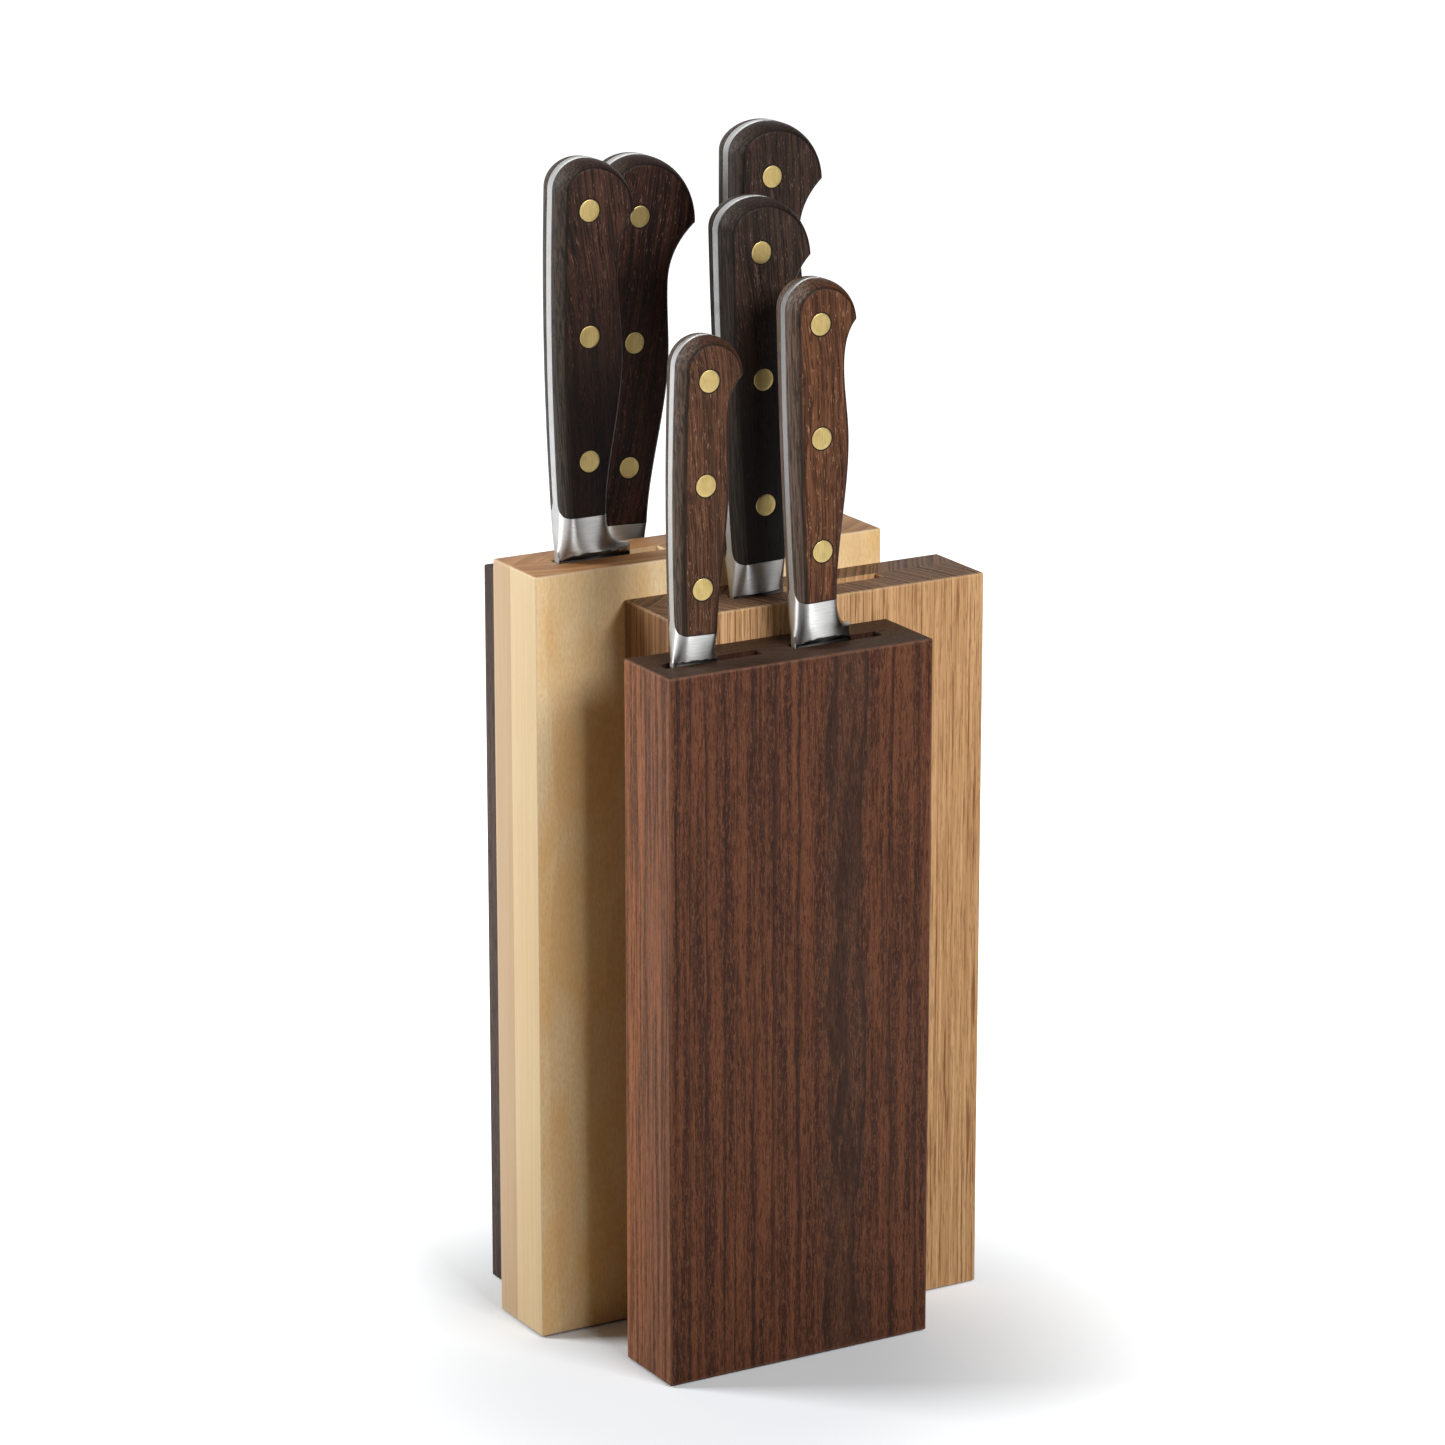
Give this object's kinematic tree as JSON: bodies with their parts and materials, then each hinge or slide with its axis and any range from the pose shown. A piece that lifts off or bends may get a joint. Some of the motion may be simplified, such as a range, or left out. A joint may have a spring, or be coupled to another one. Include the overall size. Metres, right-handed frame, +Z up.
{
  "type": "knife block with knives",
  "caption": "Staggered upright knife block of glued hardwood boards, with milled slots that hold riveted full-tang kitchen knives, each of which lifts out by its handle.",
  "frame": {"origin": "under the middle of the stack's bounding box, on the plane that the rubber feet stand on", "axes": "+Z up, front of the stack towards -Y, the knives' cutting edges towards +X"},
  "size_m": [0.1526, 0.1168, 0.4007],
  "materials": {
    "walnut_wood": "oiled, open grain",
    "oak_wood": "oiled, open grain",
    "beech_wood": "oiled, open grain",
    "smoked_wood": "oiled, open grain",
    "santoku_handle_wood": "smoked hardwood, oiled",
    "bread_handle_wood": "smoked hardwood, oiled",
    "carving_handle_wood": "smoked hardwood, oiled",
    "cook_handle_wood": "smoked hardwood, oiled",
    "paring_handle_wood": "smoked hardwood, oiled",
    "utility_handle_wood": "smoked hardwood, oiled",
    "dowel_wood": "plain",
    "steel": "brushed",
    "brass": "satin",
    "rubber": "matte"
  },
  "bodies": {
    "stack": {"beech_back_board": "beech_wood", "beech_front_board": "beech_wood", "dowel_1": "dowel_wood", "dowel_2": "dowel_wood", "dowel_3": "dowel_wood", "dowel_4": "dowel_wood", "dowel_5": "dowel_wood", "dowel_6": "dowel_wood", "foot_1": "rubber", "foot_2": "rubber", "foot_3": "rubber", "foot_4": "rubber", "foot_5": "rubber", "foot_6": "rubber", "oak_back_board": "oak_wood", "oak_front_board": "oak_wood", "smoked_back_board": "smoked_wood", "smoked_front_board": "smoked_wood", "walnut_back_board": "walnut_wood", "walnut_front_board": "walnut_wood"},
    "santoku_knife": {"santoku_back_scale": "santoku_handle_wood", "santoku_forged_blade": "steel", "santoku_front_scale": "santoku_handle_wood", "santoku_rivet_1": "brass", "santoku_rivet_2": "brass", "santoku_rivet_3": "brass"},
    "bread_knife": {"bread_back_scale": "bread_handle_wood", "bread_forged_blade": "steel", "bread_front_scale": "bread_handle_wood", "bread_rivet_1": "brass", "bread_rivet_2": "brass", "bread_rivet_3": "brass"},
    "carving_knife": {"carving_back_scale": "carving_handle_wood", "carving_forged_blade": "steel", "carving_front_scale": "carving_handle_wood", "carving_rivet_1": "brass", "carving_rivet_2": "brass", "carving_rivet_3": "brass"},
    "cook_knife": {"cook_back_scale": "cook_handle_wood", "cook_forged_blade": "steel", "cook_front_scale": "cook_handle_wood", "cook_rivet_1": "brass", "cook_rivet_2": "brass", "cook_rivet_3": "brass"},
    "paring_knife": {"paring_back_scale": "paring_handle_wood", "paring_forged_blade": "steel", "paring_front_scale": "paring_handle_wood", "paring_rivet_1": "brass", "paring_rivet_2": "brass", "paring_rivet_3": "brass"},
    "utility_knife": {"utility_back_scale": "utility_handle_wood", "utility_forged_blade": "steel", "utility_front_scale": "utility_handle_wood", "utility_rivet_1": "brass", "utility_rivet_2": "brass", "utility_rivet_3": "brass"}
  },
  "joints": [
    {"name": "santoku_lift", "type": "slide", "parent": "stack", "child": "santoku_knife", "axis": [0, 0, 1], "range_m": [0, 0.18]},
    {"name": "bread_lift", "type": "slide", "parent": "stack", "child": "bread_knife", "axis": [0.0466, 0, 0.9989], "range_m": [0, 0.235]},
    {"name": "carving_lift", "type": "slide", "parent": "stack", "child": "carving_knife", "axis": [0, 0, 1], "range_m": [0, 0.24]},
    {"name": "cook_lift", "type": "slide", "parent": "stack", "child": "cook_knife", "axis": [-0.0288, 0, 0.9996], "range_m": [0, 0.21]},
    {"name": "paring_lift", "type": "slide", "parent": "stack", "child": "paring_knife", "axis": [0.0297, 0, 0.9996], "range_m": [0, 0.1]},
    {"name": "utility_lift", "type": "slide", "parent": "stack", "child": "utility_knife", "axis": [-0.0227, 0, 0.9997], "range_m": [0, 0.17]}
  ]
}
